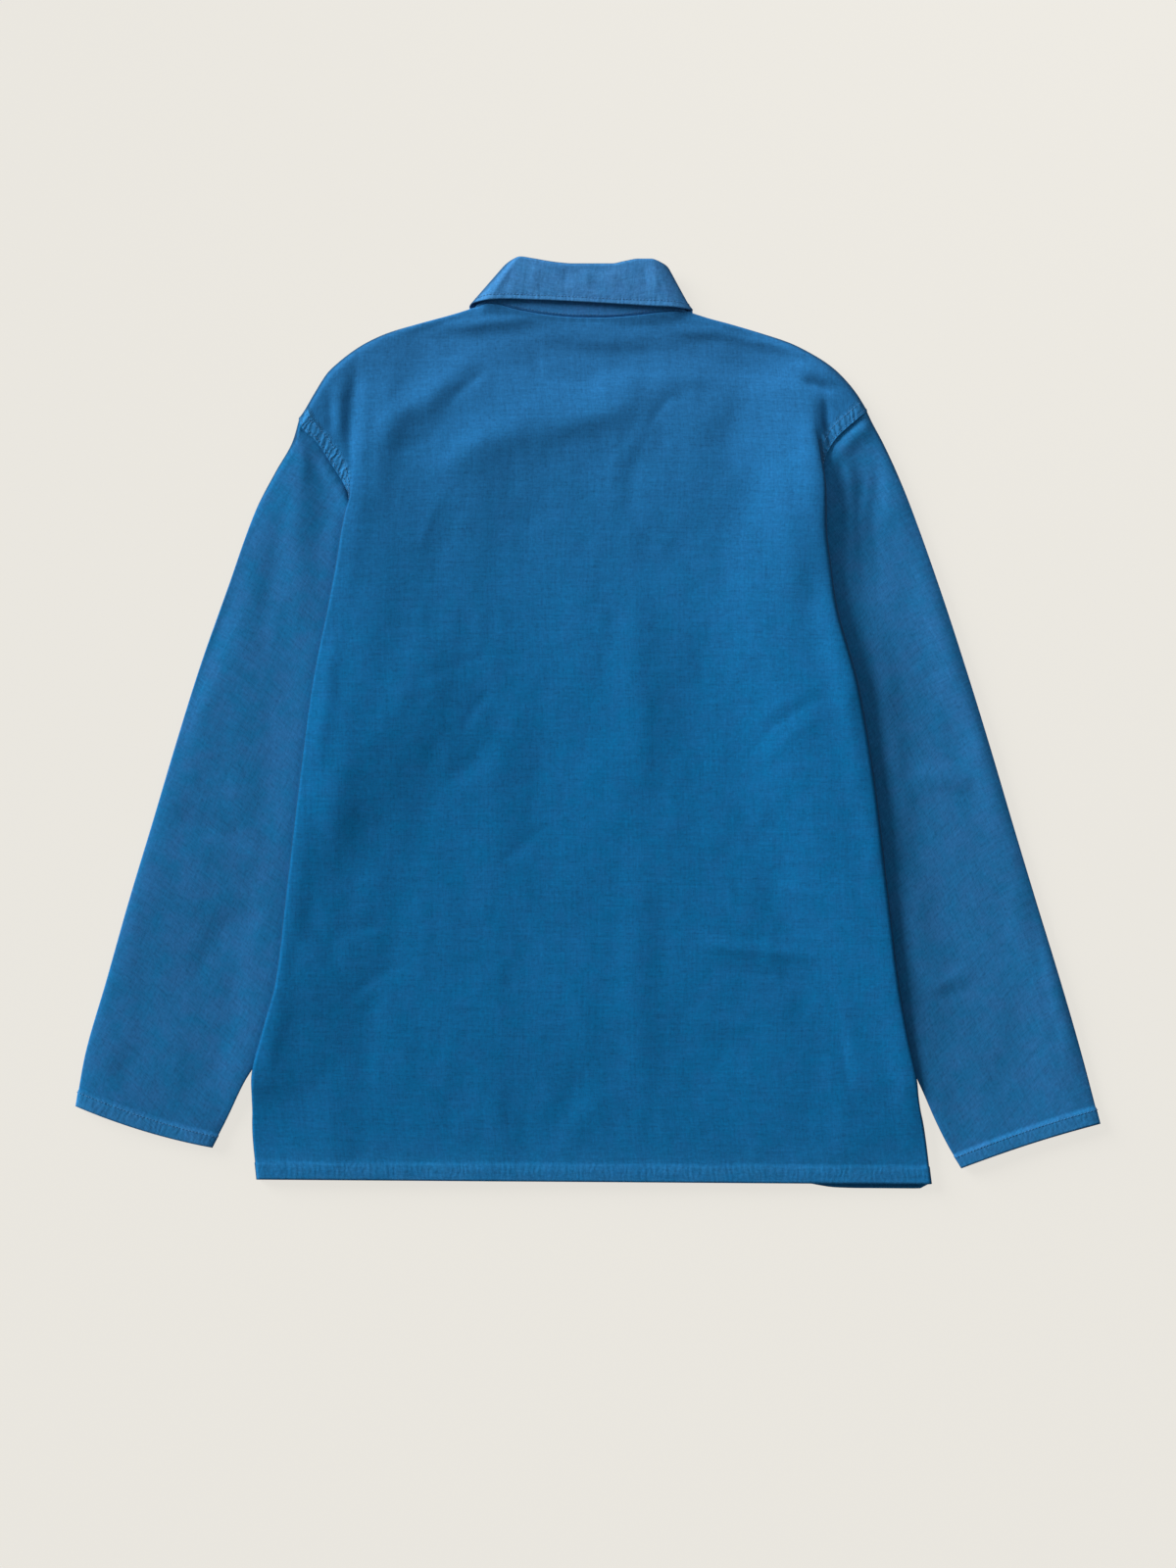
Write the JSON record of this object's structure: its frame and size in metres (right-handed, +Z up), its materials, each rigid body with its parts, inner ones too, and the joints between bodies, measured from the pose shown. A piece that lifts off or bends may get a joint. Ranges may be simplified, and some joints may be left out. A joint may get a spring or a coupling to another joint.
{
  "type": "chore jacket",
  "caption": "Cotton work jacket lying flat on its buttoned front, back up, with a turned-down collar, long sleeves spread at its sides and patch pockets under it.",
  "frame": {"origin": "middle of the bounding box, on the surface that the jacket lies on", "axes": "+X runs across the jacket to the wearer's right, +Y from the hem to the collar, +Z up from the surface, out of the jacket's back"},
  "size_m": [0.8727, 0.7891, 0.021],
  "materials": {
    "cloth": "soft matte twill, a little paler at its seams and hems",
    "button": "smooth resin"
  },
  "bodies": {
    "root": {"back": "cloth", "front_left": "cloth", "front_right": "cloth", "sleeve_left": "cloth", "sleeve_right": "cloth", "collar": "cloth", "pocket_left": "cloth", "pocket_right": "cloth", "button_1": "button", "button_2": "button", "button_3": "button", "button_4": "button", "button_5": "button"}
  },
  "joints": []
}
